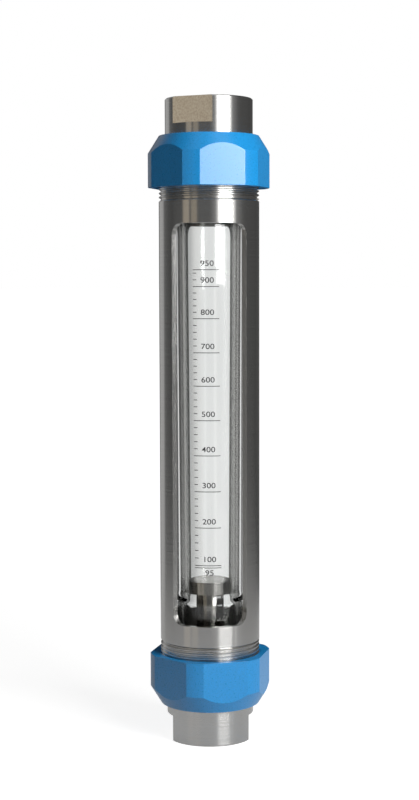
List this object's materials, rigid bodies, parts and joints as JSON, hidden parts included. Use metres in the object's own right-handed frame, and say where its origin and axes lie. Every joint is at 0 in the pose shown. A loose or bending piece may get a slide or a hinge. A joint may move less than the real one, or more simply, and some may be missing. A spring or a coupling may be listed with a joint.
{
  "type": "variable area flow meter",
  "caption": "Glass tube flow meter: a steel float in a tapered glass bore, inside a windowed stainless shroud, with threaded end fittings drawn up by hexagonal union nuts.",
  "frame": {"origin": "centre of the lower fitting's end face, which the meter stands on", "axes": "+Z along the flow from inlet to outlet, -Y towards the reading side, +X to the reader's right"},
  "size_m": [0.0708, 0.0706, 0.375],
  "materials": {
    "stainless": "turned stainless steel, fine tool lines round the axis",
    "polished_stainless": "smooth turned stainless steel",
    "blue_anodised": "satin blue anodised, fine grain",
    "clear_glass": "clear polished glass",
    "seal_rubber": "matt black rubber",
    "gasket_plastic": "off-white gasket plastic"
  },
  "bodies": {
    "root": {"shroud_tube": "stainless", "measuring_glass": "clear_glass", "lower_end_fitting": "stainless", "lower_flange_gasket": "gasket_plastic", "lower_glass_cushion": "gasket_plastic", "lower_glass_seal": "seal_rubber", "lower_float_stop": "polished_stainless", "lower_stop_clip": "polished_stainless", "upper_end_fitting": "stainless", "upper_flange_gasket": "gasket_plastic", "upper_glass_cushion": "gasket_plastic", "upper_glass_seal": "seal_rubber", "upper_float_stop": "polished_stainless", "upper_stop_clip": "polished_stainless"},
    "float_body": {"float": "polished_stainless"},
    "lower_ring_body": {"lower_slip_ring": "stainless"},
    "lower_nut_body": {"lower_union_nut": "blue_anodised"},
    "upper_ring_body": {"upper_slip_ring": "stainless"},
    "upper_nut_body": {"upper_union_nut": "blue_anodised"}
  },
  "joints": [
    {"name": "float_rise", "type": "slide", "parent": "root", "child": "float_body", "axis": [0, 0, 1], "range_m": [0, 0.2138]},
    {"name": "lower_nut_travel", "type": "slide", "parent": "root", "child": "lower_ring_body", "axis": [0, 0, -1], "range_m": [0, 0.015]},
    {"name": "lower_nut_turn", "type": "hinge", "parent": "lower_ring_body", "child": "lower_nut_body", "pos_m": [0, 0, 0.036], "axis": [0, 0, -1], "range_deg": [0, 2338]},
    {"name": "upper_nut_travel", "type": "slide", "parent": "root", "child": "upper_ring_body", "axis": [0, 0, 1], "range_m": [0, 0.015]},
    {"name": "upper_nut_turn", "type": "hinge", "parent": "upper_ring_body", "child": "upper_nut_body", "pos_m": [0, 0, 0.339], "axis": [0, 0, 1], "range_deg": [0, 2338]}
  ],
  "couplings": [
    {"joint": "lower_nut_travel", "follows": "lower_nut_turn", "m_per_rad": 0.00036749},
    {"joint": "upper_nut_travel", "follows": "upper_nut_turn", "m_per_rad": 0.00036749}
  ]
}
